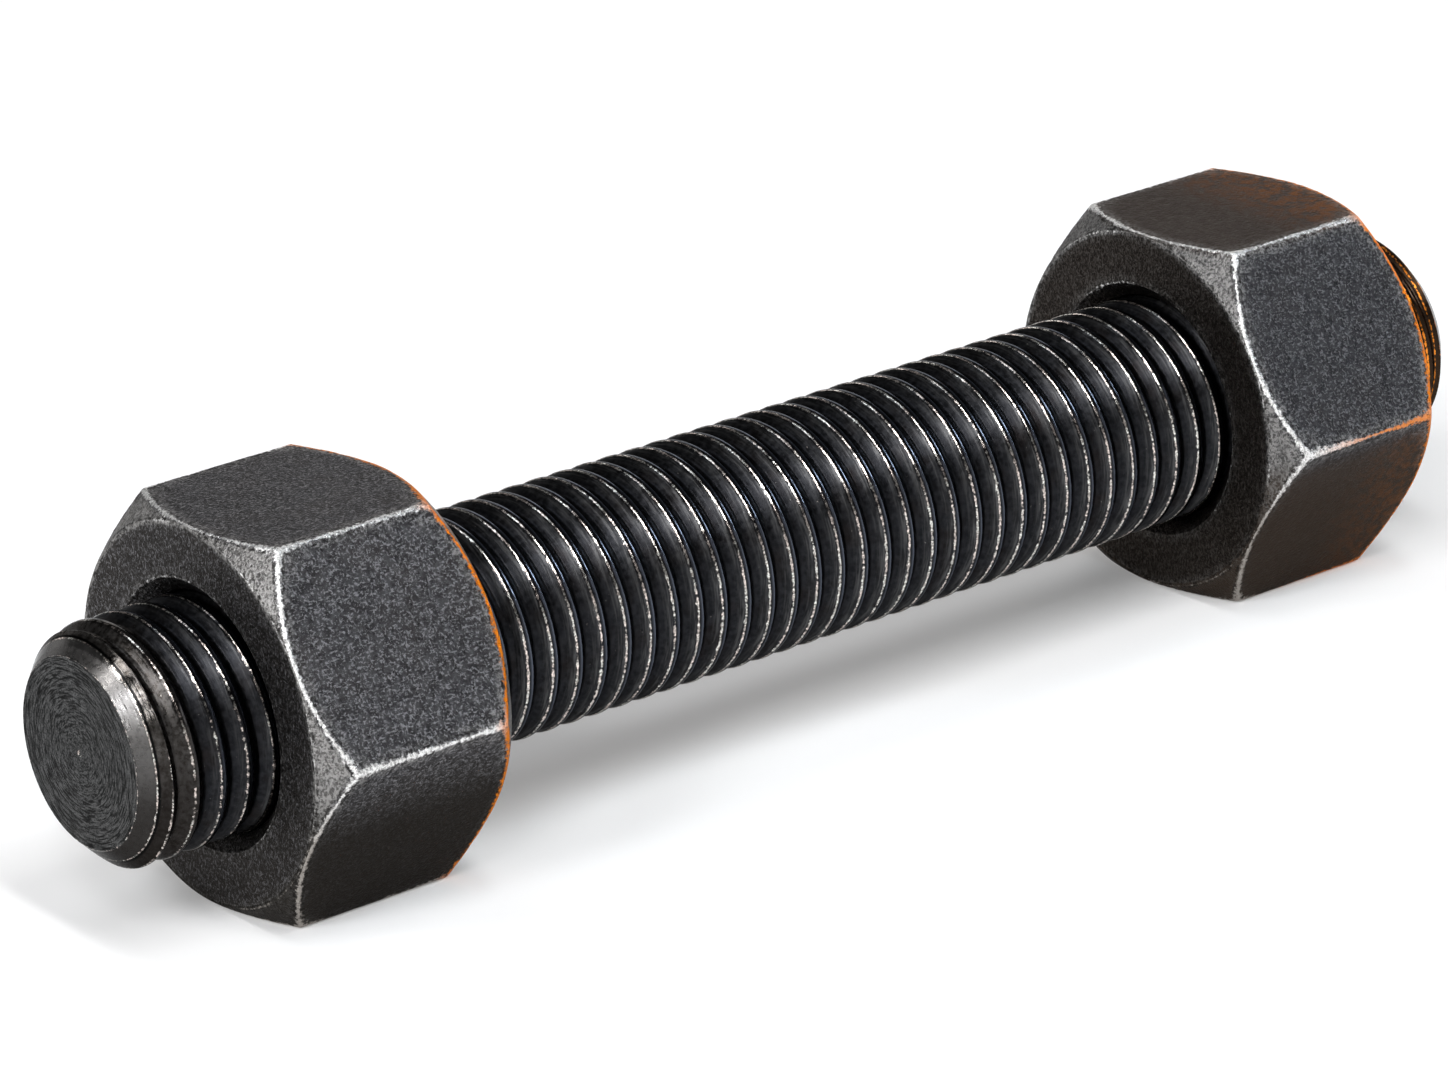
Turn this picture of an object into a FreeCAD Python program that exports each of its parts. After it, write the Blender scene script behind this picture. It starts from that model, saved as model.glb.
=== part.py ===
import FreeCAD, Part
import os
import Sketcher

# Double ended stud: a steel rod threaded along its whole length, with a heavy hex nut on each end.
# Lengths are in millimetres and angles in degrees. The row frame has +X along the rod, from the near
# end to the far end, and +Z up. Its origin is on the rod's axis, half way along it.
# The thread is a row of V grooves at its real pitch and about half its real depth, where the rod is
# bare. Under the nuts the rod is plain, and each nut's hole clears it by the running clearance.

SIZES = {
    # rod
    "stud_length": 177.8,
    "thread_diameter": 25.4,
    "end_face_diameter": 20.2,
    "end_chamfer_angle": 45.0,
    # thread
    "thread_pitch": 3.175,
    "groove_depth": 1.03,
    "crest_wear": 0.02,
    "first_groove": 3.5,
    "groove_overrun": 0.2,
    # nuts
    "nut_width": 41.0,
    "nut_thickness": 24.3,
    "nut_edge_radius": 0.6,
    "corner_chamfer_inset": 0.2,
    "corner_chamfer_angle": 41.5,
    "countersink_widening": 1.65,
    "countersink_angle": 45.0,
    "thread_clearance": 0.05,
    # how far the rod stands out of each nut
    "near_protrusion": 14.2,
    "far_protrusion": 11.6,
}

# Lengths that follow from the sizes, as expressions of the document.
STUD_RADIUS = "(Sizes.thread_diameter / 2)"
END_RADIUS = "(Sizes.end_face_diameter / 2)"
END_CHAMFER = f"(({STUD_RADIUS} - {END_RADIUS}) / tan(Sizes.end_chamfer_angle * 1 deg))"
CREST_RADIUS = f"({STUD_RADIUS} - Sizes.crest_wear)"
GROOVE_RADIUS = f"({CREST_RADIUS} - Sizes.groove_depth)"
GROOVE_TOP = f"({STUD_RADIUS} + Sizes.groove_overrun)"
GROOVE_HALF = f"(Sizes.thread_pitch / 2 * ({GROOVE_TOP} - {GROOVE_RADIUS}) / Sizes.groove_depth)"
HALF_WIDTH = "(Sizes.nut_width / 2)"
CORNER_RADIUS = f"({HALF_WIDTH} / cos(30 deg))"
HALF_SIDE = f"({HALF_WIDTH} * tan(30 deg))"
FACE_RADIUS = f"({HALF_WIDTH} - Sizes.corner_chamfer_inset)"
CHAMFER_RISE = f"(({CORNER_RADIUS} - {FACE_RADIUS}) * tan(Sizes.corner_chamfer_angle * 1 deg))"
BORE_RADIUS = f"({STUD_RADIUS} + Sizes.thread_clearance)"
MOUTH_RADIUS = f"({BORE_RADIUS} + Sizes.countersink_widening)"
MOUTH_DEPTH = "(Sizes.countersink_widening / tan(Sizes.countersink_angle * 1 deg))"
THICKNESS = "Sizes.nut_thickness"
NEAR_END = "(-Sizes.stud_length / 2)"
NEAR_NUT_FACE = f"({NEAR_END} + Sizes.near_protrusion)"
FAR_NUT_FACE = f"(Sizes.stud_length / 2 - Sizes.far_protrusion - {THICKNESS})"

# The bare stretches of the rod, from its near end: the first and the last groove's bottom lie
# between these two places.
NEAR_SEAT = f"(Sizes.near_protrusion + {THICKNESS})"
FAR_OUTER_FACE = "(Sizes.stud_length - Sizes.far_protrusion)"
BARE_STRETCHES = {
    "near_end_thread": (END_CHAMFER, "Sizes.near_protrusion"),
    "grip_thread": (f"({NEAR_SEAT} - {MOUTH_DEPTH})", f"({FAR_OUTER_FACE} - {THICKNESS})"),
    "far_end_thread": (f"({FAR_OUTER_FACE} - {MOUTH_DEPTH})", f"(Sizes.stud_length - {END_CHAMFER})"),
}


def make_sheet(doc):
    """The driving sizes, one row each: name, number."""
    sheet = doc.addObject("Spreadsheet::Sheet", "Sizes")
    for row, (name, number) in enumerate(SIZES.items(), 1):
        sheet.set(f"A{row}", name)
        sheet.set(f"B{row}", str(number))
        sheet.setAlias(f"B{row}", name)
    doc.recompute()


def make_body(doc, name, position):
    """A body whose own zero, on its axis, stands at the given place along the rod."""
    body = doc.addObject("PartDesign::Body", name)
    body.Label = name
    body.setExpression("Placement.Base.x", position)
    return body


def origin_part(body, role):
    """The body's own plane or axis with the given role."""
    return next(item for item in body.Origin.OriginFeatures if item.Role == role)


def outline(body, name, plane, corners):
    """A closed sketch of straight lines, each corner held by an expression across and one up."""
    sketch = body.newObject("Sketcher::SketchObject", name)
    sketch.AttachmentSupport = [(origin_part(body, plane), "")]
    sketch.MapMode = "FlatFace"
    points = []
    for across, up in corners:
        points.append((float(sketch.evalExpression(across)), float(sketch.evalExpression(up))))
    count = len(points)
    for i in range(count):
        start = FreeCAD.Vector(*points[i], 0)
        end = FreeCAD.Vector(*points[(i + 1) % count], 0)
        sketch.addGeometry(Part.LineSegment(start, end), False)
    for i in range(count):
        sketch.addConstraint(Sketcher.Constraint("Coincident", i, 2, (i + 1) % count, 1))
    for i, corner in enumerate(corners):
        for kind, expression, value in zip(("DistanceX", "DistanceY"), corner, points[i]):
            index = sketch.addConstraint(Sketcher.Constraint(kind, -1, 1, i, 1, value))
            sketch.setExpression(f"Constraints[{index}]", expression)
    return sketch


def volume(body):
    """The volume that the body has so far."""
    return 0 if body.Shape.isNull() else body.Shape.Volume


def turned(body, kind, name, corners):
    """A full turn of a profile about the rod's axis, added or cut away."""
    before = volume(body)
    feature = body.newObject(f"PartDesign::{kind}", name)
    feature.Profile = outline(body, f"{name}_outline", "XZ_Plane", corners)
    feature.ReferenceAxis = (origin_part(body, "X_Axis"), [""])
    feature.Angle = 360
    body.Document.recompute()
    change = volume(body) - before
    if change == 0 or (change > 0) != (kind == "Revolution"):
        raise RuntimeError(f"{body.Label}: {name} did not change the solid as it should")
    return feature


def thread_stretch(body, name, start, end):
    """V grooves side by side along one stretch. All stretches share one row of pitches."""
    first = f"ceil(({start} - Sizes.first_groove) / Sizes.thread_pitch)"
    last = f"floor(({end} - Sizes.first_groove) / Sizes.thread_pitch)"
    middle = f"(Sizes.first_groove + {first} * Sizes.thread_pitch)"
    groove = turned(body, "Groove", f"{name}_groove", [
        (f"{middle} - {GROOVE_HALF}", GROOVE_TOP),
        (middle, GROOVE_RADIUS),
        (f"{middle} + {GROOVE_HALF}", GROOVE_TOP),
    ])
    before = volume(body)
    row = body.newObject("PartDesign::LinearPattern", name)
    row.Originals = [groove]
    row.Direction = (origin_part(body, "X_Axis"), [""])
    row.setExpression("Length", f"({last} - {first}) * Sizes.thread_pitch")
    row.setExpression("Occurrences", f"{last} - {first} + 1")
    body.Tip = row
    body.Document.recompute()
    if volume(body) >= before:
        raise RuntimeError(f"{body.Label}: {name} cut nothing")


def make_stud(doc):
    """The rod, with a chamfer on each end and its thread where the nuts leave it bare."""
    body = make_body(doc, "stud", NEAR_END)
    far = "Sizes.stud_length"
    turned(body, "Revolution", "rod", [
        ("0", "0"),
        ("0", END_RADIUS),
        (END_CHAMFER, STUD_RADIUS),
        (f"{far} - {END_CHAMFER}", STUD_RADIUS),
        (far, END_RADIUS),
        (far, "0"),
    ])
    for name, (start, end) in BARE_STRETCHES.items():
        thread_stretch(body, name, start, end)
    return body


def make_hexagon(body):
    """The nut's bar stock: a hexagon lying on one flat, as long as the nut is thick."""
    prism = body.newObject("PartDesign::Pad", "hexagon")
    prism.Profile = outline(body, "hexagon_outline", "YZ_Plane", [
        (CORNER_RADIUS, "0"),
        (HALF_SIDE, HALF_WIDTH),
        (f"-{HALF_SIDE}", HALF_WIDTH),
        (f"-{CORNER_RADIUS}", "0"),
        (f"-{HALF_SIDE}", f"-{HALF_WIDTH}"),
        (HALF_SIDE, f"-{HALF_WIDTH}"),
    ])
    prism.setExpression("Length", THICKNESS)
    body.Document.recompute()
    return prism


def round_long_edges(body, prism):
    """The six edges between the flats, worn round."""
    long_edges = []
    for number, edge in enumerate(prism.Shape.Edges, 1):
        along = edge.Vertexes[1].Point - edge.Vertexes[0].Point
        if abs(along.x) > abs(along.y) + abs(along.z):
            long_edges.append(f"Edge{number}")
    rounding = body.newObject("PartDesign::Fillet", "worn_edges")
    rounding.Base = (prism, long_edges)
    rounding.setExpression("Radius", "Sizes.nut_edge_radius")
    body.Document.recompute()


def make_nut(doc, name, position):
    """A hex nut with both faces chamfered, and a hole countersunk from both faces."""
    body = make_body(doc, name, position)
    round_long_edges(body, make_hexagon(body))
    turned(body, "Groove", "front_chamfer", [
        ("0", FACE_RADIUS),
        ("0", CORNER_RADIUS),
        (CHAMFER_RISE, CORNER_RADIUS),
    ])
    turned(body, "Groove", "back_chamfer", [
        (THICKNESS, FACE_RADIUS),
        (f"{THICKNESS} - {CHAMFER_RISE}", CORNER_RADIUS),
        (THICKNESS, CORNER_RADIUS),
    ])
    turned(body, "Groove", "countersunk_hole", [
        ("0", "0"),
        ("0", MOUTH_RADIUS),
        (MOUTH_DEPTH, BORE_RADIUS),
        (f"{THICKNESS} - {MOUTH_DEPTH}", BORE_RADIUS),
        (THICKNESS, MOUTH_RADIUS),
        (THICKNESS, "0"),
    ])
    return body


def check(doc, bodies):
    """Stops unless every object is built and every body is one sound solid."""
    for item in doc.Objects:
        if "Invalid" in item.State or "Error" in item.State:
            raise RuntimeError(f"{item.Name} failed: {item.State}")
    for body in bodies:
        shape = body.Shape
        if shape.isNull() or not shape.isValid() or len(shape.Solids) != 1:
            raise RuntimeError(f"{body.Label} is not one sound solid")


def write(bodies):
    """One STEP file for each body, named after it."""
    os.makedirs("parts", exist_ok=True)
    for body in bodies:
        body.Shape.exportStep(f"parts/{body.Label}.step")
        box = body.Shape.BoundBox
        print(f"{body.Label}: {body.Shape.Volume:.1f} mm3, x {box.XMin:.2f} to {box.XMax:.2f}")


def main():
    doc = FreeCAD.newDocument("double_ended_stud")
    make_sheet(doc)
    bodies = [
        make_stud(doc),
        make_nut(doc, "near_nut", NEAR_NUT_FACE),
        make_nut(doc, "far_nut", FAR_NUT_FACE),
    ]
    doc.recompute()
    check(doc, bodies)
    write(bodies)


main()
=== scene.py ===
import math

import bmesh
import bpy
import numpy as np
from mathutils import Matrix, Vector, noise


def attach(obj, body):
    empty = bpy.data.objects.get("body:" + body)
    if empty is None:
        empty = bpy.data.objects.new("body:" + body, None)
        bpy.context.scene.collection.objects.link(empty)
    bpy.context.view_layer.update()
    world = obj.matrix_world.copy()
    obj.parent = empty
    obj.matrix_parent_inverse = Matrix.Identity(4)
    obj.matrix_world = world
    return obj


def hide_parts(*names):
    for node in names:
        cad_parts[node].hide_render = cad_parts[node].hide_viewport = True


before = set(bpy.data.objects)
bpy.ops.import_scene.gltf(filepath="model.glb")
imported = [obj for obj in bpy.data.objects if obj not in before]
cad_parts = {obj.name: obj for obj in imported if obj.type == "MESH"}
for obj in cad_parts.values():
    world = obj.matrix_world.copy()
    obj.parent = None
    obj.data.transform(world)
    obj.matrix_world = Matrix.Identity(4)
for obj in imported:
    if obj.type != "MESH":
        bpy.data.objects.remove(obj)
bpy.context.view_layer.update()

# A steel stud, threaded from end to end, with two heavy hex nuts. The rod lies along X.
# The meshes are made in millimetres, and MM turns them into the scene's metres. The camera, the
# lamps, the floor and the places in the materials are in metres.
# An angle round the rod, psi, starts at +Z and turns towards -Y.
MM = 0.001
HALF_SIXTH = math.radians(30)

# the rod and its thread
HALF_LENGTH = 88.9
CREST_RADIUS = 12.7
END_RADIUS = 10.1
PITCH = 3.175
THREAD_START = -95.38
TURNS = 58
STEPS_PER_TURN = 90

# one pitch from root to root: place along it, drop below the crest, wear
THREAD_ROWS = (
    (0.00, 0.905, 0.0),
    (0.17, 0.870, 0.0),
    (0.38, 0.735, 0.0),
    (0.72, 0.430, 0.0),
    (1.00, 0.200, 0.0),
    (1.12, 0.118, 0.4),
    (1.22, 0.065, 1.0),
    (1.34, 0.021, 1.0),
    (1.44, 0.000, 0.2),
    (1.68, 0.000, 0.0),
    (1.79, 0.010, 0.0),
    (1.91, 0.048, 0.0),
    (2.03, 0.135, 0.0),
    (2.55, 0.690, 0.0),
    (2.90, 0.870, 0.0),
)

# bands along one pitch, for the material: where each begins, is full, is full no more, and ends
THREAD_BANDS = {
    "crest": (0.95, 1.12, 1.98, 2.10),
    "blue": (1.64, 1.76, 1.94, 2.05),
    "shoulder": (0.45, 0.95, 1.20, 1.40),
}

# the ends: where the mesh is finer, the rings of the end faces and the dimple in their middle
FINE_ZONE = 84.0
FINE_CUTS = 3
DISC_RADII = (END_RADIUS, END_RADIUS - 0.12, 8.0, 6.0, 4.0, 2.4, 1.2, 0.5, 0.3)
DIMPLE_DEPTH = 0.12
DIMPLE_RADIUS = 0.4

# marks at the ends: the width of a worn line, what counts as on an end face, by how much the
# chamfer has to cut the thread, and the scraped band inside the chamfer
WORN_LINE = 0.10
FACE_MARGIN = 0.01
CUT_MARGIN = 0.02
SCRAPED_BAND = (82.1, 83.3)
SCRAPED_SHARE = 0.8
CROSSING_WEAR = 0.9

# the nuts
NUT_THICKNESS = 24.3
NUT_HALF_WIDTH = 20.5
FACE_RADIUS = 20.3
CORNER_CHAMFER = math.radians(41.5)
BORE_RADIUS = 12.75
MOUTH_RADIUS = 14.4
LONG_EDGE_RADIUS = 0.6
BORE_EDGE_RADIUS = 0.18
MOUTH_EDGE_RADIUS = 0.22
WIDEST_EDGE_RADIUS = 0.7
EDGE_SHARE = 0.46
NEAR_NUT_X = -74.7
FAR_NUT_X = 53.0

# the nut's mesh: columns across a flat, counted from a long edge, and rows as shares of a surface
CLOSE_COLUMNS = (0.12, 0.30, 0.55)
FIRST_WIDE_COLUMN = 0.9
WIDE_COLUMNS = 62
ROUND_STEPS = 8
BORE_ROWS = (0.5, 0.85, 0.97)
MOUTH_ROWS = (0.2, 0.5, 0.8)
FACE_ROWS = (0.04, 0.12, 0.3, 0.5, 0.7, 0.82, 0.91, 0.96)
CONE_ROWS = (0.2, 0.4, 0.6, 0.8)
SIDE_ROWS = (0.02, 0.04, 0.07, 0.11, 0.16, 0.25, 0.35, 0.5, 0.65, 0.8)

# wear of the nuts' edges: a distance of 0 is a bare edge, and UNWORN is out of reach
UNWORN = 9.0
MOUTH_DISTANCE = 0.34
FACE_EDGE_DISTANCE = 0.30
CORNER_REACH = 3.6
NICK_REACH = 0.35
NICK_DEPTH = 0.16
NICK_WAVES = ((1.3, 0.6), (3.1, 0.4))
WIDTH_MARGIN = 0.002
# REAR_ZONE: the rear edges, whose wider bright wear carries a painted orange rim light
REAR_ZONE = (NUT_THICKNESS - 4.5, NUT_THICKNESS - 2.5)

# the camera, fitted to the photograph
CAMERA_PLACE = (-0.4351161, -0.5485653, 0.2712015)
CAMERA_RIGHT = (0.779462, -0.625520, -0.034108)
CAMERA_DOWN = (-0.251985, -0.263221, -0.931246)
CAMERA_FORWARD = (0.573535, 0.734465, -0.362793)
CAMERA_LENS = 175.12
SENSOR_WIDTH = 36.0

# lamps: name, direction from the object, distance, width, height, radiance and colour
LAMPS = (
    ("key_right", (0.84, -0.24, 0.48), 1.6, 0.24, 0.46, 18.0, (0.80, 0.90, 1.0)),
    ("flat_right", (0.574, -0.70, 0.43), 1.6, 0.50, 0.36, 1.65, (0.93, 0.95, 1.0)),
    ("overhead", (-0.085, -0.47, 0.88), 1.6, 0.20, 1.00, 17.5, (1.0, 1.0, 1.0)),
    ("soft_left", (-0.52, -0.46, 0.72), 1.6, 0.40, 0.44, 8.8, (0.97, 0.98, 1.0)),
    ("key_left", (-0.775, -0.20, 0.60), 1.6, 0.32, 0.40, 20.0, (0.97, 0.98, 1.0)),
    ("glint", (-0.81, -0.40, 0.42), 1.6, 0.18, 0.18, 23.0, (1.0, 1.0, 1.0)),
    ("corner_left", (-0.746, 0.18, 0.649), 1.6, 0.30, 0.26, 16.5, (1.0, 0.99, 0.98)),
    ("top", (-0.08, 0.27, 0.96), 1.6, 0.50, 0.50, 2.5, (0.88, 0.94, 1.0)),
    ("back", (0.574, 0.734, 0.363), 1.6, 0.80, 0.50, 2.5, (1.0, 0.98, 0.96)),
    ("rim", (0.95, 0.29, 0.09), 1.0, 0.70, 0.16, 2.8, (1.0, 0.45, 0.14)),
)

# the studio: the world's level at the horizon and overhead, the heights between, and the floor
WHITE = (1.0, 1.0, 1.0, 1.0)
HORIZON_LEVEL = 1.0
OVERHEAD_LEVEL = 0.12
FADE_HEIGHTS = (0.10, 0.40)
FLOOR_COLOUR = (0.80, 0.80, 0.80, 1.0)
FLOOR_GLOW = 0.20
FLOOR_HALF = 2.5
FLOOR_GAP = 0.0001

# colours of the nuts, linear
SCALE_DARK = (0.031, 0.030, 0.031, 1)
SCALE_LIGHT = (0.075, 0.074, 0.078, 1)
SCALE_PATCH = (0.062, 0.055, 0.052, 1)
SCALE_FACE = (0.031, 0.028, 0.025, 1)
SCALE_SPECK = (0.272, 0.268, 0.280, 1)
SCALE_PIT = (0.014, 0.013, 0.013, 1)
SCALE_FAR = (0.021, 0.022, 0.025, 1)
# painted shade: the nuts' lower half is darker
SCALE_SHADE_BELOW = (0.019, 0.016, 0.013, 1)
# painted warm rim light on the far nut's top and lower flats
SCALE_RIM_GLOW = (0.050, 0.036, 0.027, 1)
SCUFF_DARK = (0.118, 0.114, 0.110, 1)
SCUFF_LIGHT = (0.370, 0.361, 0.350, 1)
BROWN_DARK = (0.011, 0.008, 0.006, 1)
BROWN_LIGHT = (0.050, 0.042, 0.035, 1)
# rust specks that also carry a painted warm rim light, strongest on the far nut's top flat
RUST_AND_RIM_GLOW = (0.25, 0.092, 0.026, 1)
HAZE = (0.305, 0.298, 0.290, 1)
CRACK = (0.014, 0.013, 0.012, 1)
EDGE_DULL = (0.36, 0.352, 0.344, 1)
EDGE_BRIGHT = (0.95, 0.94, 0.93, 1)
# painted shade: the worn edges are duller on the nuts' lower half
EDGE_SHADE_BELOW = (0.31, 0.28, 0.25, 1)
# painted orange rim light on the worn rear edges and on the far nut's lower edges
EDGE_RIM_GLOW = (0.74, 0.21, 0.012, 1)

# colours of the stud, linear
THREAD_DARK = (0.0098, 0.0103, 0.0118, 1)
THREAD_LIGHT = (0.0212, 0.0218, 0.0245, 1)
THREAD_PATCH = (0.013, 0.009, 0.007, 1)
THREAD_BRUSHED = (0.075, 0.075, 0.076, 1)
THREAD_BLUE = (0.084, 0.095, 0.120, 1)
# painted orange rim light on the thread at the rod's far end
THREAD_RIM_GLOW = (0.032, 0.020, 0.013, 1)
SCRAPED_DARK = (0.021, 0.018, 0.015, 1)
SCRAPED_LIGHT = (0.096, 0.090, 0.086, 1)
# painted shade on the lower part of the end chamfers
CHAMFER_SHADE = (0.012, 0.010, 0.009, 1)
# smoother, lighter metal near the end, with a painted highlight on the chamfers' upper part
CHAMFER_HIGHLIGHT_RING = (0.188, 0.184, 0.182, 1)
CHAMFER_LINE = (0.006, 0.006, 0.006, 1)
TURNED_DARK = (0.015, 0.015, 0.015, 1)
TURNED_LIGHT = (0.122, 0.123, 0.123, 1)
TURNED_GRAIN = (0.012, 0.012, 0.012, 1)
CREST_DULL = (0.28, 0.25, 0.23, 1)
CREST_ROSY = (0.95, 0.82, 0.76, 1)
CREST_PALE = (0.92, 0.93, 0.87, 1)
# painted orange rim light on the worn edges at the rod's far end
CREST_RIM_GLOW = (0.85, 0.27, 0.03, 1)
SPECULAR_TINT = (0.5, 0.5, 0.5, 1.0)

# where a tint, a painted shade or a painted light begins and is full, along the rod (x) or in
# height (z), in metres
FAR_DARKER = (0.030, 0.055)
FAR_BROWNER = (0.030, 0.053)
FAR_NUT_RIM_GLOW = (0.030, 0.060)
FAR_RUST_AND_GLOW = (0.063, 0.078)
FAR_EDGE_RIM_GLOW = (0.056, 0.068)
# where the painted orange rim light at the rod's far end begins and is full
FAR_END_RIM_GLOW = (0.073, 0.078)
NEAR_END = (-0.0750, -0.0730)
TOP_FLAT = (0.0197, 0.0204)
LOWER_FLATS = (-0.004, 0.0)
# the height over which the painted shade on the nuts' lower half fades out
SHADE_BELOW_HEIGHT = (-0.010, 0.0)
RUST_AND_GLOW_HEIGHT = (-0.006, 0.010)
EDGE_RIM_GLOW_HEIGHT = (0.0, 0.004)
# CHAMFER_SHADE_HEIGHT: where the painted shade on the chamfers' lower part fades out
CHAMFER_SHADE_HEIGHT = (-0.004, 0.007)

# rings on the end chamfers: distance from the end, and half width for a line, in metres
# the lighter ring with a painted highlight: full up to the first distance from the end, gone at the
# second
HIGHLIGHT_RING = (0.0012, 0.0016)
DARK_LINE = (0.00158, 0.00008)
WORN_RINGS = ((0.00142, 0.00006), (0.00256, 0.00008))

# how far the relief of each material stands out, in metres
NUT_RELIEF = 0.00019
STUD_RELIEF = 0.00005


# meshes

def mesh_object(name, mesh):
    obj = bpy.data.objects.new(name, mesh)
    bpy.context.scene.collection.objects.link(obj)
    return obj


def add_values(mesh, name, values):
    """A value at each of the mesh's points, for its material."""
    attribute = mesh.attributes.new(name, "FLOAT", "POINT")
    attribute.data.foreach_set("value", np.asarray(values, np.float32))


def coordinates(mesh):
    co = np.zeros(len(mesh.vertices) * 3, np.float32)
    mesh.vertices.foreach_get("co", co)
    return co.reshape(-1, 3).astype(float)


def ring_point(x, radius, psi):
    """A point at a place along the rod, a distance from its axis and an angle round it."""
    return np.stack([x, -radius * np.sin(psi), radius * np.cos(psi)], axis=-1)


def thread_profile():
    """One pitch of the thread from root to root: places along it, radii and wear."""
    return np.array([(place, CREST_RADIUS - drop, wear) for place, drop, wear in THREAD_ROWS])


def helix_phase(co):
    """How far each point is along its pitch, for points in millimetres."""
    psi = np.arctan2(-co[:, 1], co[:, 2])
    return np.mod(co[:, 0] - THREAD_START - PITCH * psi / (2 * math.pi), PITCH)


def chamfer_radius(along):
    """The end chamfers' radius at a distance from the rod's middle."""
    return END_RADIUS + HALF_LENGTH - along


def thread_grid(profile):
    """The helical band: points, and the quads between them. Neighbouring turns share an edge."""
    across = len(profile)
    rows = TURNS * STEPS_PER_TURN + 1
    step = np.arange(rows)
    psi = 2 * math.pi * step / STEPS_PER_TURN
    base = THREAD_START + PITCH * step / STEPS_PER_TURN
    x = base[:, None] + profile[None, :, 0]
    radius = np.repeat(profile[None, :, 1], rows, axis=0)
    points = ring_point(x, radius, np.repeat(psi[:, None], across, axis=1)).reshape(-1, 3)
    quads = []
    for i in range(rows - 1):
        for j in range(across - 1):
            a = i * across + j
            quads.append((a, a + 1, a + across + 1, a + across))
        k = i + STEPS_PER_TURN
        if k + 1 < rows:
            last = i * across + across - 1
            quads.append((last, k * across, (k + 1) * across, last + across))
    return points, quads


def end_discs():
    """The two end faces as rings round a centre, the outermost on the chamfer's small edge."""
    psi = 2 * math.pi * np.arange(STEPS_PER_TURN) / STEPS_PER_TURN
    points = []
    faces = []
    for side in (-1, 1):
        start = len(points)
        place = np.full(STEPS_PER_TURN, side * HALF_LENGTH)
        for radius in DISC_RADII:
            points.extend(ring_point(place, np.full(STEPS_PER_TURN, radius), psi))
        centre = len(points)
        points.append(np.array([side * (HALF_LENGTH - DIMPLE_DEPTH), 0.0, 0.0]))
        for k in range(len(DISC_RADII) - 1):
            a = start + k * STEPS_PER_TURN
            b = a + STEPS_PER_TURN
            for i in range(STEPS_PER_TURN):
                n = (i + 1) % STEPS_PER_TURN
                faces.append((a + i, a + n, b + n, b + i))
        last = start + (len(DISC_RADII) - 1) * STEPS_PER_TURN
        for i in range(STEPS_PER_TURN):
            faces.append((last + i, last + (i + 1) % STEPS_PER_TURN, centre))
    return points, faces


def add_faces(bm, points, faces):
    verts = [bm.verts.new(point) for point in points]
    for face in faces:
        bm.faces.new([verts[i] for i in face])


def refine_ends(bm):
    """More points across the thread near each end, where the chamfer cuts it."""
    shortest_across = 1.5 * PITCH / STEPS_PER_TURN
    edges = []
    for edge in bm.edges:
        a, b = (vert.co.x for vert in edge.verts)
        if abs(a - b) > shortest_across and min(abs(a), abs(b)) > FINE_ZONE:
            edges.append(edge)
    bmesh.ops.subdivide_edges(bm, edges=edges, cuts=FINE_CUTS)


def cut_chamfers(bm):
    """Moves each point that is outside a chamfer or an end face onto it."""
    for vert in bm.verts:
        x, y, z = vert.co
        radius = math.hypot(y, z)
        limit = chamfer_radius(min(abs(x), HALF_LENGTH))
        if radius > limit:
            vert.co.y *= limit / radius
            vert.co.z *= limit / radius
        vert.co.x = max(-HALF_LENGTH, min(HALF_LENGTH, x))


def stud_mesh(profile):
    """The thread and both end faces as one closed mesh."""
    bm = bmesh.new()
    add_faces(bm, *thread_grid(profile))
    refine_ends(bm)
    add_faces(bm, *end_discs())
    cut_chamfers(bm)
    bmesh.ops.remove_doubles(bm, verts=bm.verts, dist=2e-4)
    bmesh.ops.dissolve_degenerate(bm, edges=bm.edges, dist=1e-5)
    bmesh.ops.recalc_face_normals(bm, faces=bm.faces)
    mesh = bpy.data.meshes.new("threaded_stud")
    bm.to_mesh(mesh)
    bm.free()
    return mesh


def mark_stud(mesh, profile):
    """What the stud's material needs to know of each point: its wear, and the surface it is on."""
    co = coordinates(mesh)
    along = np.abs(co[:, 0])
    radius = np.hypot(co[:, 1], co[:, 2])
    phase = helix_phase(co)
    thread = np.interp(phase, profile[:, 0], profile[:, 1], period=PITCH)
    cone = chamfer_radius(along)
    is_cut = thread > cone + CUT_MARGIN
    at_end = along > HALF_LENGTH - FACE_MARGIN
    in_dimple = radius < DIMPLE_RADIUS
    on_face = at_end | in_dimple

    wear = np.interp(phase, profile[:, 0], profile[:, 2], period=PITCH)
    wear = np.where(is_cut, 0.0, wear)
    crossing = np.clip(1 - np.abs(thread - cone) / WORN_LINE, 0, 1) * ~at_end
    rim = np.clip(1 - np.hypot(radius - END_RADIUS, HALF_LENGTH - along) / WORN_LINE, 0, 1)
    wear = np.maximum(wear, np.maximum(CROSSING_WEAR * crossing, rim))
    wear = np.where(in_dimple, 1.0, wear)

    scraped = SCRAPED_SHARE * np.interp(along, SCRAPED_BAND, (0, 1))
    chamfer = np.where(on_face, 0.0, np.maximum(is_cut, scraped))
    add_values(mesh, "wear", wear)
    add_values(mesh, "chamfer", chamfer)
    add_values(mesh, "end_face", on_face)
    for name, band in THREAD_BANDS.items():
        add_values(mesh, name, np.interp(phase, band, (0, 1, 1, 0), period=PITCH))


def make_stud():
    """The rod with its thread, a right-hand helix that fades out through the end chamfers."""
    profile = thread_profile()
    mesh = stud_mesh(profile)
    mark_stud(mesh, profile)
    mesh.transform(Matrix.Scale(MM, 4))
    mesh.shade_smooth()
    mesh.set_sharp_from_angle(angle=math.radians(38))
    return mesh_object("threaded_stud", mesh)


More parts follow.
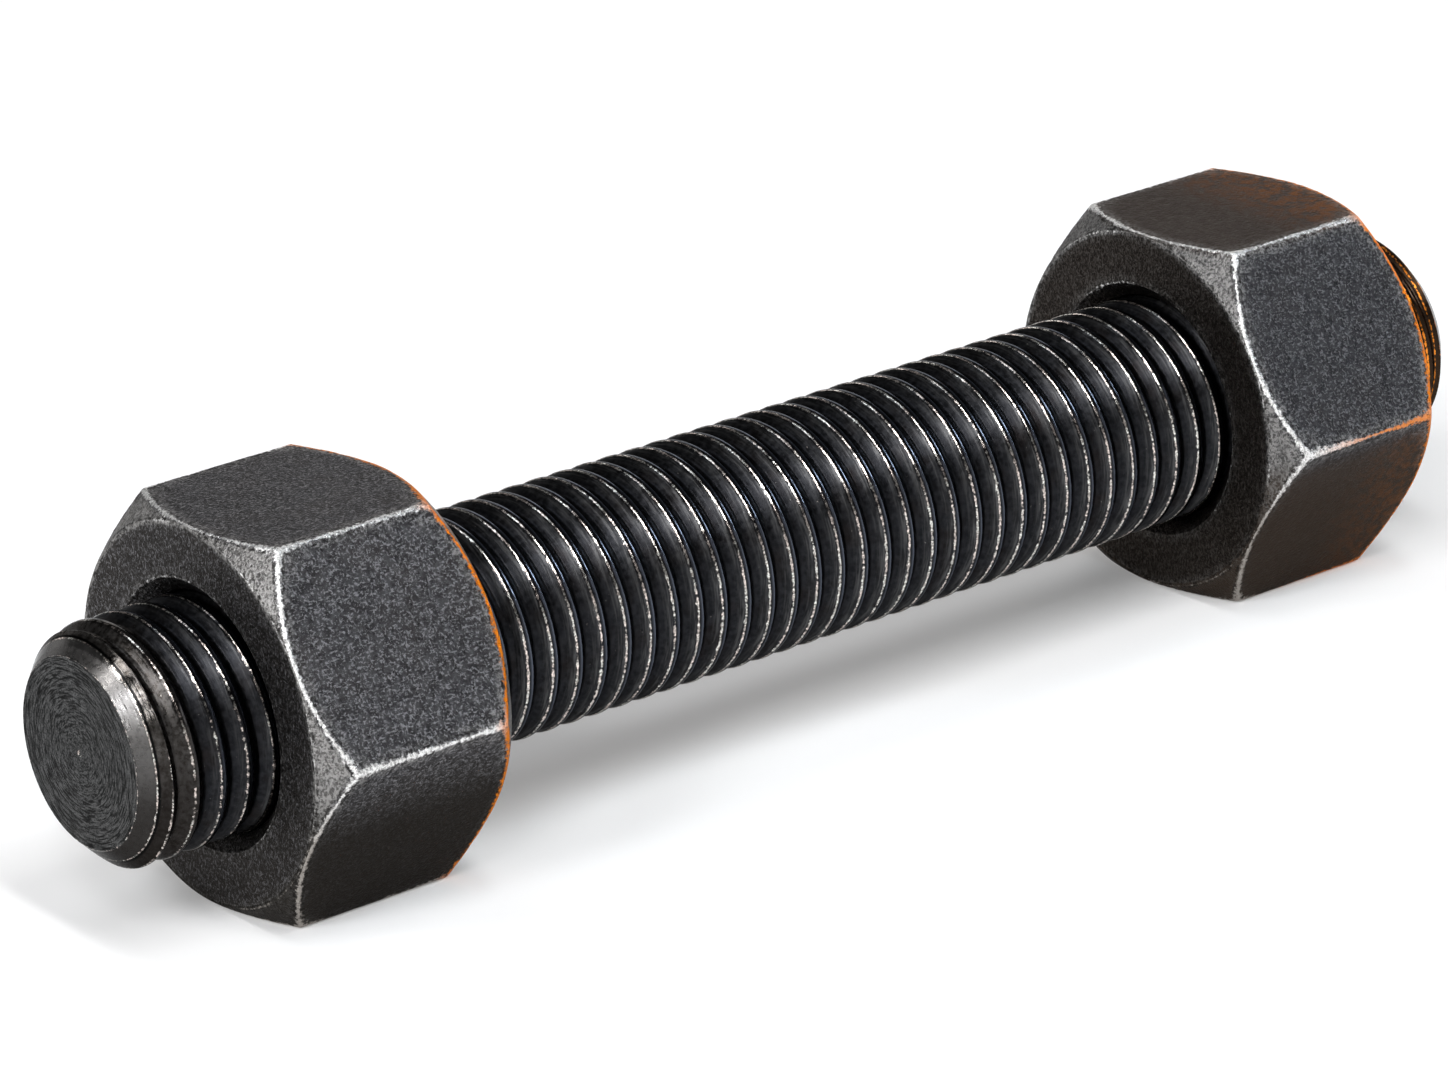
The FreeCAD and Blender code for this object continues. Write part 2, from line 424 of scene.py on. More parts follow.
def flat_columns(reach):
    """Places across a flat that ends at plus and minus reach, closer together at its edges."""
    close = np.array(CLOSE_COLUMNS)
    half = reach - FIRST_WIDE_COLUMN
    wide = np.linspace(-half, half, WIDE_COLUMNS)
    return np.concatenate([close - reach, wide, reach - close[::-1]])


def outward(angle):
    """The direction across the rod at an angle round it."""
    return np.array([-math.sin(angle), math.cos(angle)])


def hexagon_section():
    """Points round the nut's outline, their outward directions, and distances to a long edge."""
    reach = (NUT_HALF_WIDTH - LONG_EDGE_RADIUS) * math.tan(HALF_SIXTH)
    centre_radius = (NUT_HALF_WIDTH - LONG_EDGE_RADIUS) / math.cos(HALF_SIXTH)
    half_round = LONG_EDGE_RADIUS * HALF_SIXTH
    places = []
    directions = []
    distances = []
    for side in range(6):
        beta = side * 2 * HALF_SIXTH
        out = outward(beta)
        run = outward(beta + math.pi / 2)
        for s in flat_columns(reach):
            places.append(NUT_HALF_WIDTH * out + s * run)
            directions.append(out)
            distances.append(reach - abs(s) + half_round)
        corner = beta + HALF_SIXTH
        centre = centre_radius * outward(corner)
        for step in range(ROUND_STEPS + 1):
            angle = beta + 2 * HALF_SIXTH * step / ROUND_STEPS
            places.append(centre + LONG_EDGE_RADIUS * outward(angle))
            directions.append(outward(angle))
            distances.append(LONG_EDGE_RADIUS * abs(angle - corner))
    return np.array(places), np.array(directions), np.array(distances)


def unit(v):
    return v / np.linalg.norm(v, axis=-1, keepdims=True)


def fillet(corner, before, after, radius, steps=5):
    """Rows of places and directions that round a corner between two surfaces."""
    rows = []
    both = 1 + np.sum(before * after, axis=1, keepdims=True)
    radius = np.broadcast_to(radius, len(corner))[:, None]
    centre = corner - radius * (before + after) / both
    for t in np.linspace(0, 1, steps):
        direction = unit((1 - t) * before + t * after)
        rows.append((centre + radius * direction, direction))
    return rows


def between(first, last, shares):
    """Rows on the straight surface between two rows."""
    rows = []
    for share in shares:
        place = (1 - share) * first[0] + share * last[0]
        direction = unit((1 - share) * first[1] + share * last[1])
        rows.append((place, direction))
    return rows


def nut_lines(places, directions):
    """The rows that bound the nut's front half: the hole's middle, four rounded edges, the side."""
    count = len(places)
    outline = np.hypot(places[:, 0], places[:, 1])
    e = np.column_stack([np.zeros(count), places / outline[:, None]])
    flat = np.column_stack([np.zeros(count), directions])
    axis = np.tile([1.0, 0.0, 0.0], (count, 1))
    cone = -math.cos(CORNER_CHAMFER) * axis + math.sin(CORNER_CHAMFER) * e
    sink = unit(-axis - e)
    depth = MOUTH_RADIUS - BORE_RADIUS
    middle = NUT_THICKNESS / 2
    rise = (outline - FACE_RADIUS) * math.tan(CORNER_CHAMFER)
    rim_corner = rise[:, None] * axis + outline[:, None] * e
    room = EDGE_SHARE * (outline - FACE_RADIUS) / math.cos(CORNER_CHAMFER)
    face_radius = np.minimum(WIDEST_EDGE_RADIUS, room / math.tan(CORNER_CHAMFER / 2))
    rim_angle = math.radians(45) - CORNER_CHAMFER / 2
    rim_radius = np.minimum(WIDEST_EDGE_RADIUS, room / math.tan(rim_angle))

    hole = (middle * axis + BORE_RADIUS * e, -e)
    bore_edge = fillet(depth * axis + BORE_RADIUS * e, -e, sink, BORE_EDGE_RADIUS)
    mouth_edge = fillet(MOUTH_RADIUS * e, sink, -axis, MOUTH_EDGE_RADIUS)
    face_edge = fillet(FACE_RADIUS * e, -axis, cone, face_radius)
    rim_edge = fillet(rim_corner, cone, flat, rim_radius)
    side = (middle * axis + outline[:, None] * e, flat)
    return hole, bore_edge, mouth_edge, face_edge, rim_edge, side


def always(distance):
    """Measures the same distance everywhere."""
    return lambda place: np.full(len(place), distance)


def from_row(row, start=0.0):
    """Measures how far places are from a row, beyond a start."""
    return lambda place: start + np.linalg.norm(place - row[0], axis=1)


def nearest(*ways):
    """Measures the least of several distances."""
    return lambda place: np.minimum.reduce([way(place) for way in ways])


def nut_half():
    """The nut's surface from the middle of its hole, over the front face, to mid thickness.
    Each row has places, directions, distances to a worn edge, and the surface it is on."""
    places, directions, long_edge = hexagon_section()
    hole, bore_edge, mouth_edge, face_edge, rim_edge, side = nut_lines(places, directions)
    unworn = always(UNWORN)
    at_mouth = always(MOUTH_DISTANCE)
    to_mouth = from_row(mouth_edge[0], MOUTH_DISTANCE)
    past_mouth = from_row(mouth_edge[-1], MOUTH_DISTANCE)
    face_line = from_row(face_edge[2], FACE_EDGE_DISTANCE)
    rim_line = from_row(rim_edge[2])
    on_face = nearest(past_mouth, face_line)
    on_cone = nearest(face_line, rim_line)
    outer = nearest(rim_line, always(long_edge))
    groups = [
        ([hole], "bore", unworn),
        (between(hole, bore_edge[0], BORE_ROWS), "bore", unworn),
        (bore_edge, "mouth", unworn),
        (between(bore_edge[-1], mouth_edge[0], MOUTH_ROWS), "mouth", to_mouth),
        (mouth_edge, "mouth", at_mouth),
        (between(mouth_edge[-1], face_edge[0], FACE_ROWS), "face", on_face),
        (face_edge, "cone", face_line),
        (between(face_edge[-1], rim_edge[0], CONE_ROWS), "cone", on_cone),
        (rim_edge, "rim", outer),
        (between(rim_edge[-1], side, SIDE_ROWS), "side", outer),
        ([side], "side", outer),
    ]
    rows = []
    for group, surface, distance in groups:
        for place, direction in group:
            rows.append((place, direction, distance(place), surface))
    return rows


def both_halves(rows):
    """The front half's rows, then the back half's, which mirror them."""
    flip = np.array([-1.0, 1.0, 1.0])
    whole = list(rows)
    for place, direction, distance, surface in rows[-2:0:-1]:
        mirrored = place * flip + [NUT_THICKNESS, 0, 0]
        whole.append((mirrored, direction * flip, distance, surface))
    return whole


def loop_quads(loops, count):
    """The quads between closed loops of points, with the last loop joined to the first."""
    quads = []
    for i in range(loops):
        n = (i + 1) % loops
        for j in range(count):
            m = (j + 1) % count
            quads.append((i * count + j, i * count + m, n * count + m, n * count + j))
    return quads


def nicked(co, direction, weight, seed):
    """Points moved inwards here and there, where their weight says that an edge is worn."""
    moved = co.copy()
    shift = Vector((seed, 0.0, 0.0))
    for i in np.flatnonzero(weight > 0.05):
        p = Vector(co[i])
        rough = sum(noise.noise(p * scale + shift) * share for scale, share in NICK_WAVES)
        moved[i] -= direction[i] * weight[i] * NICK_DEPTH * max(0.0, rough)
    return moved


def corner_wear(co, x):
    """1 at the twelve corners where two flats meet a chamfer, down to 0 at CORNER_REACH."""
    away = np.full(len(co), CORNER_REACH)
    radius = NUT_HALF_WIDTH / math.cos(HALF_SIXTH)
    rise = (radius - FACE_RADIUS) * math.tan(CORNER_CHAMFER)
    for k in range(6):
        angle = HALF_SIXTH + k * 2 * HALF_SIXTH
        for place in (x + rise, x + NUT_THICKNESS - rise):
            corner = (place, *(radius * outward(angle)))
            away = np.minimum(away, np.linalg.norm(co - corner, axis=1))
    return 1 - away / CORNER_REACH


def make_nut(name, x, seed):
    """A nut with rounded, nicked edges, its front face at x."""
    rows = both_halves(nut_half())
    count = len(rows[0][0])
    co = np.concatenate([row[0] for row in rows])
    out = np.concatenate([row[1] for row in rows])
    distance = np.concatenate([row[2] for row in rows])
    surface = np.repeat([row[3] for row in rows], count)
    co = nicked(co + [x, 0, 0], out, np.clip(1 - distance / NICK_REACH, 0, 1), seed)
    centre_radius = (NUT_HALF_WIDTH - LONG_EDGE_RADIUS) / math.cos(HALF_SIXTH)
    widest = centre_radius + LONG_EDGE_RADIUS - WIDTH_MARGIN
    co[:, 1] = np.clip(co[:, 1], -widest, widest)
    co[:, 2] = np.clip(co[:, 2], -NUT_HALF_WIDTH, NUT_HALF_WIDTH)
    mesh = bpy.data.meshes.new(name)
    mesh.from_pydata([tuple(point) for point in co], [], loop_quads(len(rows), count))
    add_values(mesh, "edge_distance", distance)
    add_values(mesh, "face", np.isin(surface, ["face", "mouth", "bore"]))
    add_values(mesh, "cone", surface == "cone")
    add_values(mesh, "corner", corner_wear(co, x))
    # rear: where the rear edges carry a painted orange rim light
    add_values(mesh, "rear", np.interp(co[:, 0] - x, REAR_ZONE, (0, 1)))
    mesh.transform(Matrix.Scale(MM, 4))
    mesh.shade_smooth()
    mesh.normals_split_custom_set_from_vertices([tuple(normal) for normal in unit(out)])
    return mesh_object(name, mesh)


# materials

class Nodes:
    """A material's node tree, with short calls for the nodes used here."""

    def __init__(self, name):
        self.material = bpy.data.materials.new(name)
        self.material.use_nodes = True
        self.tree = self.material.node_tree
        self.tree.nodes.clear()
        self.values = {}
        self.place = self.add("ShaderNodeTexCoord").outputs["Object"]
        split = self.add("ShaderNodeSeparateXYZ")
        self.put(split.inputs[0], self.place)
        self.x, self.y, self.z = split.outputs

    def add(self, kind, **settings):
        node = self.tree.nodes.new(kind)
        for key, value in settings.items():
            setattr(node, key, value)
        return node

    def put(self, socket, value):
        """Gives a socket a number or colour of its own, or links another node's output to it."""
        if isinstance(value, bpy.types.NodeSocket):
            self.tree.links.new(value, socket)
        else:
            socket.default_value = value

    def value(self, name):
        """A value that the mesh has at its points."""
        if name not in self.values:
            node = self.add("ShaderNodeAttribute", attribute_name=name)
            self.values[name] = node.outputs["Fac"]
        return self.values[name]

    def math(self, operation, a, b=0.0):
        node = self.add("ShaderNodeMath", operation=operation)
        self.put(node.inputs[0], a)
        self.put(node.inputs[1], b)
        return node.outputs[0]

    def plus(self, a, b):
        return self.math("ADD", a, b)

    def minus(self, a, b):
        return self.math("SUBTRACT", a, b)

    def times(self, a, b):
        return self.math("MULTIPLY", a, b)

    def most(self, a, b):
        return self.math("MAXIMUM", a, b)

    def rest(self, value, share=1.0):
        """What a share of a value leaves of 1."""
        return self.minus(1.0, self.times(value, share))

    def ramp(self, value, low, high, to_low=0.0, to_high=1.0):
        """A smooth change from to_low to to_high while a value goes from low to high."""
        node = self.add("ShaderNodeMapRange", interpolation_type="SMOOTHSTEP")
        self.put(node.inputs["Value"], value)
        self.put(node.inputs["From Min"], low)
        self.put(node.inputs["From Max"], high)
        self.put(node.inputs["To Min"], to_low)
        self.put(node.inputs["To Max"], to_high)
        return node.outputs["Result"]

    def line(self, value, middle, half_width):
        """1 where a value is at its middle, down to 0 at twice the half width from it."""
        away = self.math("ABSOLUTE", self.minus(value, middle))
        return self.ramp(away, half_width * 0.5, half_width * 2, 1.0, 0.0)

    def ragged(self, value, texture, spread):
        """A value made uneven by a noise texture, whose own middle is 0.5."""
        return self.plus(value, self.times(self.minus(texture, 0.5), spread))

    def noise(self, scale, detail=3.0, roughness=0.55, place=None):
        node = self.add("ShaderNodeTexNoise")
        self.put(node.inputs["Vector"], place or self.place)
        node.inputs["Scale"].default_value = scale
        node.inputs["Detail"].default_value = detail
        node.inputs["Roughness"].default_value = roughness
        return node.outputs["Fac"]

    def dashes(self, scale, turn):
        """Noise with a scale of its own along each of three turned axes."""
        node = self.add("ShaderNodeMapping")
        self.put(node.inputs["Vector"], self.place)
        node.inputs["Scale"].default_value = scale
        node.inputs["Rotation"].default_value = turn
        return self.noise(1.0, 2, 0.6, node.outputs[0])

    def mix(self, share, a, b):
        """Colour a, with a share of colour b. Sockets 6 and 7 are the node's two colours."""
        node = self.add("ShaderNodeMix", data_type="RGBA")
        self.put(node.inputs["Factor"], share)
        self.put(node.inputs[6], a)
        self.put(node.inputs[7], b)
        return node.outputs[2]

    def metal(self, colour, roughness, height, relief):
        """The finished material, with a relief for the fine grain."""
        bump = self.add("ShaderNodeBump")
        self.put(bump.inputs["Height"], height)
        bump.inputs["Distance"].default_value = relief
        bump.inputs["Strength"].default_value = 1.0
        shader = self.add("ShaderNodeBsdfPrincipled")
        self.put(shader.inputs["Base Color"], colour)
        self.put(shader.inputs["Roughness"], roughness)
        self.put(shader.inputs["Normal"], bump.outputs["Normal"])
        shader.inputs["Metallic"].default_value = 1.0
        shader.inputs["Specular Tint"].default_value = SPECULAR_TINT
        output = self.add("ShaderNodeOutputMaterial")
        self.put(output.inputs["Surface"], shader.outputs[0])
        return self.material


def nut_scale(n, mottle, grain):
    """Mottled scale with light specks and dark pits, scuffed on the chamfers."""
    face = n.value("face")
    base = n.mix(n.ramp(mottle, 0.35, 0.68), SCALE_DARK, SCALE_LIGHT)
    base = n.mix(n.ramp(n.noise(150, 3), 0.4, 0.75, 0.0, 0.35), base, SCALE_PATCH)
    base = n.mix(n.times(face, 0.70), base, SCALE_FACE)
    specks = n.times(n.ramp(grain, 0.53, 0.70), n.minus(0.8, n.times(face, 0.22)))
    base = n.mix(specks, base, SCALE_SPECK)
    pits = n.ramp(n.noise(1900, 3, 0.65), 0.30, 0.42, 0.75, 0.0)
    base = n.mix(pits, base, SCALE_PIT)
    scuffed = n.mix(n.ramp(grain, 0.44, 0.62), SCUFF_DARK, SCUFF_LIGHT)
    scuffs = n.times(n.value("cone"), n.ramp(mottle, 0.3, 0.6, 0.45, 0.9))
    return n.mix(scuffs, base, scuffed)


def nut_tints(n, base, mottle, grain, low):
    """Painted shade on the lower half, darker towards the far end, and brown on the far nut's
    faces. The far nut's top and lower flats get a painted warm rim light, as a warm brown and as
    specks that are partly rust.
    """
    face = n.value("face")
    base = n.mix(n.ramp(n.x, *FAR_DARKER, 0.0, 0.35), base, SCALE_FAR)
    # painted shade on the lower half
    base = n.mix(low, base, SCALE_SHADE_BELOW)
    browned = n.mix(n.ramp(grain, 0.46, 0.64), BROWN_DARK, BROWN_LIGHT)
    base = n.mix(n.times(face, n.ramp(n.x, *FAR_BROWNER, 0.0, 0.72)), base, browned)
    flats = n.most(n.ramp(n.z, *TOP_FLAT), n.ramp(n.z, *LOWER_FLATS, 1.0, 0.0))
    flats = n.times(flats, n.rest(face))
    # painted warm rim light on the far nut's top and lower flats
    base = n.mix(n.times(flats, n.ramp(n.x, *FAR_NUT_RIM_GLOW, 0.0, 0.75)), base, SCALE_RIM_GLOW)
    # rust specks and painted warm rim light, strongest on the top flat and towards the back
    rust_and_glow = n.times(n.ramp(n.x, *FAR_RUST_AND_GLOW), n.ramp(mottle, 0.38, 0.62, 0.0, 0.8))
    rust_and_glow = n.times(n.times(flats, rust_and_glow), n.ramp(n.z, *RUST_AND_GLOW_HEIGHT, 0.35, 1.0))
    return n.mix(rust_and_glow, base, RUST_AND_RIM_GLOW)


def nut_edge_marks(n, base, mottle, grain, low):
    """A light haze of scuffs near the worn edges, less of it under the painted shade below, and
    short dark cracks beside them.
    """
    distance = n.value("edge_distance")
    haze = n.times(n.ramp(grain, 0.46, 0.60, 0.10, 0.9), n.ramp(mottle, 0.40, 0.62, 0.2, 0.9))
    haze = n.times(haze, n.rest(n.value("face"), 0.6))
    # less haze under the painted shade below
    haze = n.times(haze, n.rest(low))
    near_edge = n.ramp(distance, 0.20, 1.7, 1.0, 0.0)
    near_edge = n.most(near_edge, n.ramp(n.value("corner"), 0.0, 0.8))
    base = n.mix(n.times(near_edge, haze), base, HAZE)
    cracks = n.ramp(n.noise(1400, 3, 0.6), 0.50, 0.57, 0.0, 0.8)
    cracks = n.times(n.line(distance, 0.50, 0.12), cracks)
    return n.mix(cracks, base, CRACK)


def nut_bright_edges(n):
    """1 where an edge is worn bright, which reaches further at corners and on the rear edges, where
    the bright steel carries a painted orange rim light.
    """
    reach = n.ramp(n.noise(95, 2), 0.38, 0.62, 0.16, 0.40)
    reach = n.plus(reach, n.times(n.value("rear"), 0.16))
    reach = n.plus(reach, n.times(n.value("corner"), 0.35))
    share = n.math("DIVIDE", n.value("edge_distance"), reach)
    return n.ramp(n.ragged(share, n.noise(2300, 3, 0.65), 3.6), 0.20, 1.05, 1.0, 0.0)


def nut_steel(n, grain, low):
    """Bright steel, with painted shade below, and a painted orange rim light on the rear edges and
    on the far nut's lower edges.
    """
    steel = n.mix(n.ramp(grain, 0.38, 0.62), EDGE_DULL, EDGE_BRIGHT)
    # painted shade: duller steel below
    steel = n.mix(low, steel, EDGE_SHADE_BELOW)
    # painted orange rim light on all rear edges and on the far nut's lower edges
    lower_rim_glow = n.times(n.ramp(n.x, *FAR_EDGE_RIM_GLOW), n.ramp(n.z, *EDGE_RIM_GLOW_HEIGHT, 0.9, 0.0))
    return n.mix(n.most(n.value("rear"), lower_rim_glow), steel, EDGE_RIM_GLOW)


def nut_material():
    """Dark oxidised steel: mottled scale on the flats, and bright worn edges."""
    n = Nodes("dark_scaled_steel")
    mottle = n.noise(1100, 4, 0.6)
    one_way = n.dashes((3900, 3900, 1900), (0.5, 0.6, 0.3))
    other_way = n.dashes((1900, 4000, 4000), (-0.6, 0.4, 0.9))
    grain = n.most(one_way, other_way)
    # low: painted shade on the nuts' lower half, weaker on the faces
    low = n.times(n.ramp(n.z, *SHADE_BELOW_HEIGHT, 0.90, 0.0), n.rest(n.value("face"), 0.65))
    base = nut_scale(n, mottle, grain)
    base = nut_tints(n, base, mottle, grain, low)
    base = nut_edge_marks(n, base, mottle, grain, low)
    bright = nut_bright_edges(n)
    colour = n.mix(bright, base, nut_steel(n, grain, low))
    rough = n.minus(n.ramp(mottle, 0.3, 0.7, 0.34, 0.48), n.times(bright, 0.08))
    height = n.plus(n.times(mottle, 0.5), grain)
    return n.metal(colour, rough, height, NUT_RELIEF)


def turned_place(n):
    """A place for noise that is drawn out round the rod, and the place along the rod."""
    radius = n.math("SQRT", n.plus(n.times(n.y, n.y), n.times(n.z, n.z)))
    safe = n.most(radius, 0.0001)
    place = n.add("ShaderNodeCombineXYZ")
    n.put(place.inputs[0], n.times(radius, 1000.0))
    n.put(place.inputs[1], n.math("DIVIDE", n.y, safe))
    n.put(place.inputs[2], n.math("DIVIDE", n.z, safe))
    return place.outputs[0], n.times(n.x, 1000.0)


def turned_noise(n, place, along, scale, slow):
    """Turning marks: noise with a fine scale across the marks and a slow one along them."""
    stretch = n.add("ShaderNodeVectorMath", operation="MULTIPLY")
    n.put(stretch.inputs[0], place)
    stretch.inputs[1].default_value = (scale, slow, slow)
    node = n.add("ShaderNodeTexNoise", noise_dimensions="4D")
    n.put(node.inputs["Vector"], stretch.outputs[0])
    n.put(node.inputs["W"], n.times(along, scale))
    node.inputs["Scale"].default_value = 1.0
    node.inputs["Detail"].default_value = 2.0
    node.inputs["Roughness"].default_value = 0.6
    return node.outputs["Fac"]


def thread_colour(n, mottle, brushed):
    """Near-black thread with brown patches, brushed shoulders and bluish crests."""
    base = n.mix(n.ramp(mottle, 0.35, 0.68), THREAD_DARK, THREAD_LIGHT)
    base = n.mix(n.ramp(n.noise(260, 3), 0.45, 0.8, 0.0, 0.5), base, THREAD_PATCH)
    brushing = n.times(n.value("shoulder"), n.ramp(brushed, 0.42, 0.66, 0.15, 1.0))
    brushing = n.times(brushing, n.ramp(n.x, *NEAR_END, 0.5, 1.0))
    base = n.mix(brushing, base, THREAD_BRUSHED)
    return n.mix(n.value("blue"), base, THREAD_BLUE)


def chamfer_colour(n, base, mottle, on_chamfer, from_end):
    """Scraped end chamfers with painted shade below, and a lighter ring of smoother metal near the
    end, kept to the upper part as a painted highlight, beside a dark line.
    """
    scraped = n.mix(n.ramp(mottle, 0.25, 0.75), SCRAPED_DARK, SCRAPED_LIGHT)
    base = n.mix(n.value("chamfer"), base, scraped)
    # painted shade on the chamfers' lower part
    shaded_below = n.ramp(n.z, *CHAMFER_SHADE_HEIGHT, 0.86, 0.0)
    base = n.mix(n.times(on_chamfer, shaded_below), base, CHAMFER_SHADE)
    # a lighter ring of smoother metal, kept off the lower part as a painted highlight
    highlight_ring = n.times(on_chamfer, n.ramp(from_end, *HIGHLIGHT_RING, 0.6, 0.0))
    base = n.mix(n.times(highlight_ring, n.rest(shaded_below)), base, CHAMFER_HIGHLIGHT_RING)
    return n.mix(n.times(on_chamfer, n.line(from_end, *DARK_LINE)), base, CHAMFER_LINE)


def end_face_colour(n, base, rings, grain):
    """Turned end faces, with light and dark rings and dark grains."""
    turned = n.mix(n.ramp(rings, 0.38, 0.64), TURNED_DARK, TURNED_LIGHT)
    turned = n.mix(n.ramp(grain, 0.50, 0.62, 0.0, 0.8), turned, TURNED_GRAIN)
    return n.mix(n.value("end_face"), base, turned)


def stud_bright_edges(n, on_chamfer, from_end):
    """1 where a crest's edge, an end's edge or a ring on a chamfer is worn bright."""
    first, second = WORN_RINGS
    rings = n.most(n.line(from_end, *first), n.line(from_end, *second))
    wear = n.most(n.value("wear"), n.times(on_chamfer, rings))
    wear = n.times(wear, n.ramp(n.x, *NEAR_END, 0.84, 1.0))
    bright = n.ramp(n.ragged(wear, n.noise(2100, 3, 0.7), 3.0), 0.62, 1.0)
    return n.times(bright, n.ramp(n.x, *NEAR_END, 0.80, 1.0))


def stud_steel(n, grain, rim_glow):
    """Bright steel with a tint that changes slowly, and a painted orange rim light at the far end.
    """
    tint = n.mix(n.ramp(n.noise(520, 2), 0.42, 0.60), CREST_ROSY, CREST_PALE)
    steel = n.mix(n.ramp(grain, 0.40, 0.62), CREST_DULL, tint)
    return n.mix(n.times(rim_glow, n.rest(n.value("end_face"))), steel, CREST_RIM_GLOW)


def stud_material():
    """Near-black thread with glossy crests, bright worn crest edges and turned end faces."""
    n = Nodes("black_thread_steel")
    end_face = n.value("end_face")
    place, along = turned_place(n)
    brushed = turned_noise(n, place, along, 4.5, 4.0)
    rings = turned_noise(n, place, along, 7.0, 6.0)
    mottle = n.noise(1500, 4, 0.6)
    grain = n.noise(4600, 2, 0.7)
    # painted orange rim light at the rod's far end
    rim_glow = n.ramp(n.x, *FAR_END_RIM_GLOW)
    from_end = n.minus(HALF_LENGTH * MM, n.math("ABSOLUTE", n.x))
    on_chamfer = n.times(n.value("chamfer"), n.rest(end_face))
    base = thread_colour(n, mottle, brushed)
    base = chamfer_colour(n, base, mottle, on_chamfer, from_end)
    # painted orange rim light on the thread at the far end
    base = n.mix(rim_glow, base, THREAD_RIM_GLOW)
    base = end_face_colour(n, base, rings, grain)
    bright = stud_bright_edges(n, on_chamfer, from_end)
    colour = n.mix(bright, base, stud_steel(n, grain, rim_glow))
    rough = n.ramp(mottle, 0.3, 0.7, 0.30, 0.42)
    rough = n.minus(rough, n.times(n.value("crest"), 0.16))
    rough = n.minus(rough, n.times(on_chamfer, 0.07))
    height = n.plus(n.times(mottle, 0.5), n.times(brushed, 0.4))
    height = n.plus(height, n.times(n.times(rings, end_face), 0.6))
    return n.metal(colour, rough, height, STUD_RELIEF)


# camera, light and floor

def make_camera():
    """The camera that took the photograph."""
    data = bpy.data.cameras.new("camera")
    data.lens = CAMERA_LENS
    data.sensor_fit = "HORIZONTAL"
    data.sensor_width = SENSOR_WIDTH
    data.clip_start = 0.01
    data.clip_end = 20.0
    camera = bpy.data.objects.new("camera", data)
    bpy.context.scene.collection.objects.link(camera)
    right = Vector(CAMERA_RIGHT)
    up = -Vector(CAMERA_DOWN)
    back = -Vector(CAMERA_FORWARD)
    turn = Matrix((right, up, back)).transposed()
    camera.matrix_world = Matrix.Translation(CAMERA_PLACE) @ turn.to_4x4()
    bpy.context.scene.camera = camera


def softbox(name, direction, distance, width, height, radiance, colour):
    """A rectangular lamp in the given direction from the object, facing it."""
    data = bpy.data.lights.new(name, "AREA")
    data.shape = "RECTANGLE"
    data.size = width
    data.size_y = height
    data.energy = radiance * math.pi * width * height
    data.color = colour
    lamp = bpy.data.objects.new(name, data)
    bpy.context.scene.collection.objects.link(lamp)
    way = Vector(direction).normalized()
    lamp.location = way * distance
    lamp.rotation_mode = "QUATERNION"
    lamp.rotation_quaternion = way.to_track_quat("Z", "Y")


def make_world():
    """A studio that is white round the horizon and darker overhead, where the lamps are."""
    world = bpy.data.worlds.new("studio")
    bpy.context.scene.world = world
    world.use_nodes = True
    tree = world.node_tree
    tree.nodes.clear()
    output = tree.nodes.new("ShaderNodeOutputWorld")
    light = tree.nodes.new("ShaderNodeBackground")
    light.inputs["Color"].default_value = WHITE
    place = tree.nodes.new("ShaderNodeTexCoord")
    split = tree.nodes.new("ShaderNodeSeparateXYZ")
    fade = tree.nodes.new("ShaderNodeMapRange")
    fade.interpolation_type = "SMOOTHSTEP"
    fade.inputs["From Min"].default_value = FADE_HEIGHTS[0]
    fade.inputs["From Max"].default_value = FADE_HEIGHTS[1]
    fade.inputs["To Min"].default_value = HORIZON_LEVEL
    fade.inputs["To Max"].default_value = OVERHEAD_LEVEL
    tree.links.new(place.outputs["Generated"], split.inputs[0])
    tree.links.new(split.outputs[2], fade.inputs["Value"])
    tree.links.new(fade.outputs[0], light.inputs["Strength"])
    tree.links.new(light.outputs[0], output.inputs[0])


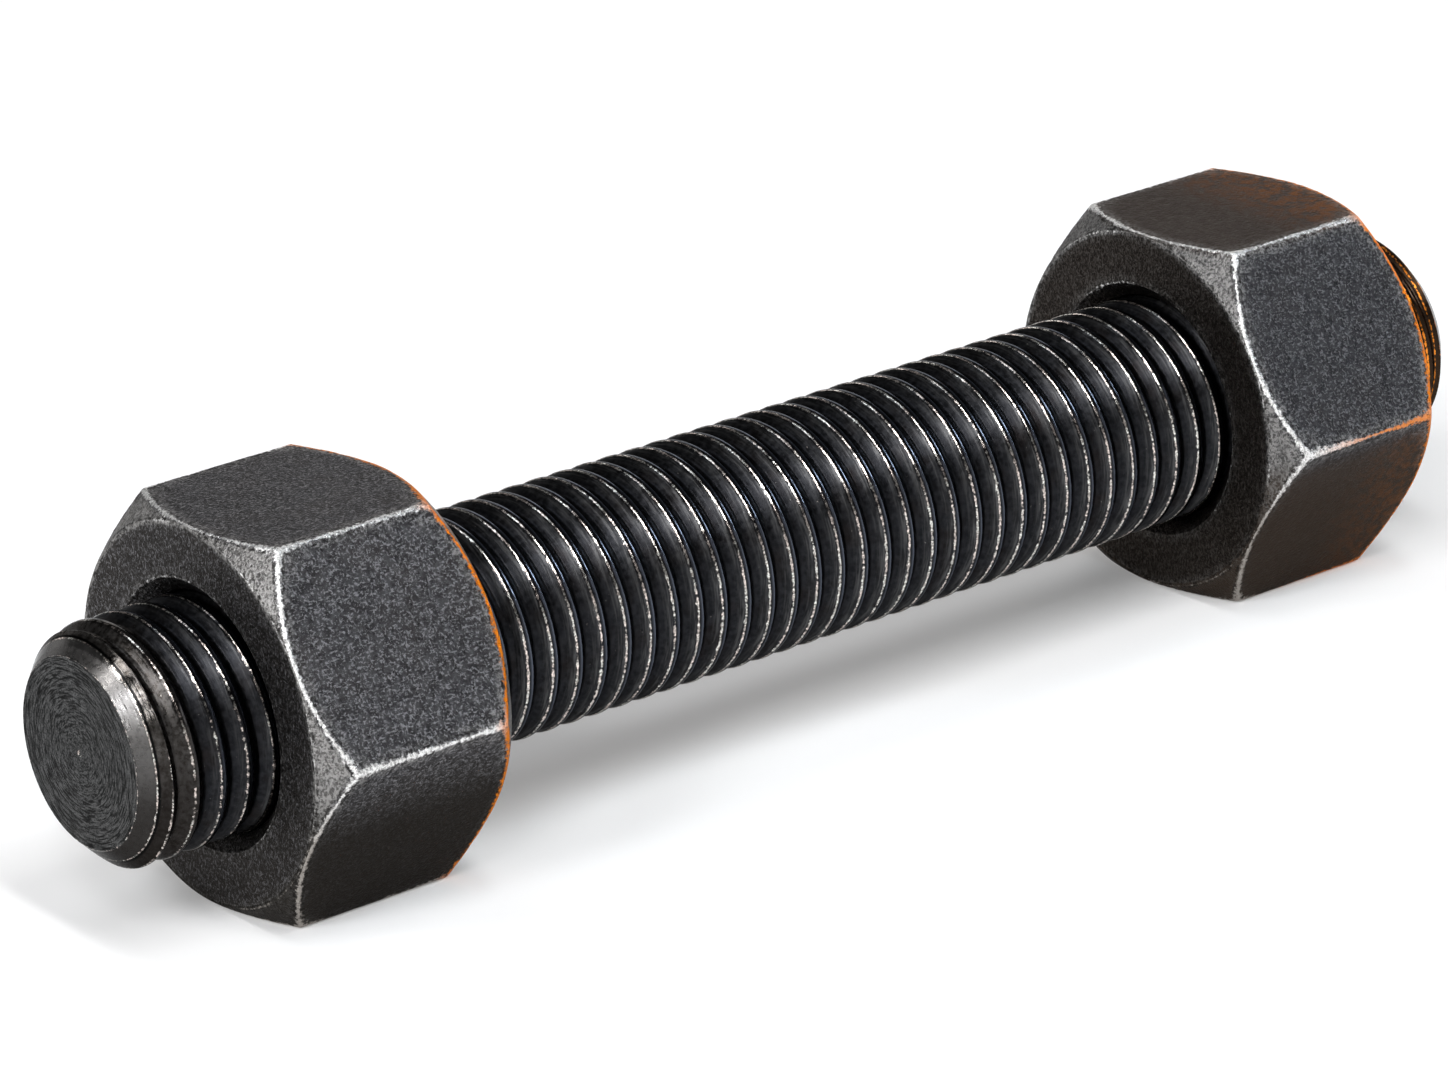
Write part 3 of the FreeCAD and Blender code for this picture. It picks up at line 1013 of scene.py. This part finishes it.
def seen_directly(tree):
    """1 for rays from the camera, a reflection or a transparent surface, otherwise 0."""
    path = tree.nodes.new("ShaderNodeLightPath")
    first = tree.nodes.new("ShaderNodeMath")
    first.operation = "MAXIMUM"
    second = tree.nodes.new("ShaderNodeMath")
    second.operation = "MAXIMUM"
    tree.links.new(path.outputs["Is Camera Ray"], first.inputs[0])
    tree.links.new(path.outputs["Is Glossy Ray"], first.inputs[1])
    tree.links.new(first.outputs[0], second.inputs[0])
    tree.links.new(path.outputs["Is Transmission Ray"], second.inputs[1])
    return second.outputs[0]


def floor_material():
    """A pale matt floor that keeps the shadow, lifted a little where it is seen directly."""
    material = bpy.data.materials.new("white_floor")
    material.use_nodes = True
    tree = material.node_tree
    tree.nodes.clear()
    output = tree.nodes.new("ShaderNodeOutputMaterial")
    matt = tree.nodes.new("ShaderNodeBsdfDiffuse")
    matt.inputs["Color"].default_value = FLOOR_COLOUR
    glow = tree.nodes.new("ShaderNodeEmission")
    glow.inputs["Color"].default_value = WHITE
    strength = tree.nodes.new("ShaderNodeMath")
    strength.operation = "MULTIPLY"
    strength.inputs[1].default_value = FLOOR_GLOW
    both = tree.nodes.new("ShaderNodeAddShader")
    tree.links.new(seen_directly(tree), strength.inputs[0])
    tree.links.new(strength.outputs[0], glow.inputs["Strength"])
    tree.links.new(matt.outputs[0], both.inputs[0])
    tree.links.new(glow.outputs[0], both.inputs[1])
    tree.links.new(both.outputs[0], output.inputs["Surface"])
    return material


def make_floor():
    half = FLOOR_HALF
    z = -NUT_HALF_WIDTH * MM - FLOOR_GAP
    corners = [(-half, -half, z), (half, -half, z), (half, half, z), (-half, half, z)]
    mesh = bpy.data.meshes.new("floor")
    mesh.from_pydata(corners, [], [(0, 1, 2, 3)])
    mesh.materials.append(floor_material())
    floor = mesh_object("floor", mesh)


bpy.context.scene.view_settings.view_transform = "Standard"
make_camera()
make_world()
make_floor()
for lamp in LAMPS:
    softbox(*lamp)

stud = make_stud()
stud.data.materials.append(stud_material())
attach(stud, "stud")
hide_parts("stud")

nut_steel_material = nut_material()
for nut_name, nut_x, nut_seed in (("near_nut", NEAR_NUT_X, 0.0), ("far_nut", FAR_NUT_X, 40.0)):
    nut = make_nut("worn_" + nut_name, nut_x, nut_seed)
    nut.data.materials.append(nut_steel_material)
    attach(nut, nut_name)
    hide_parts(nut_name)
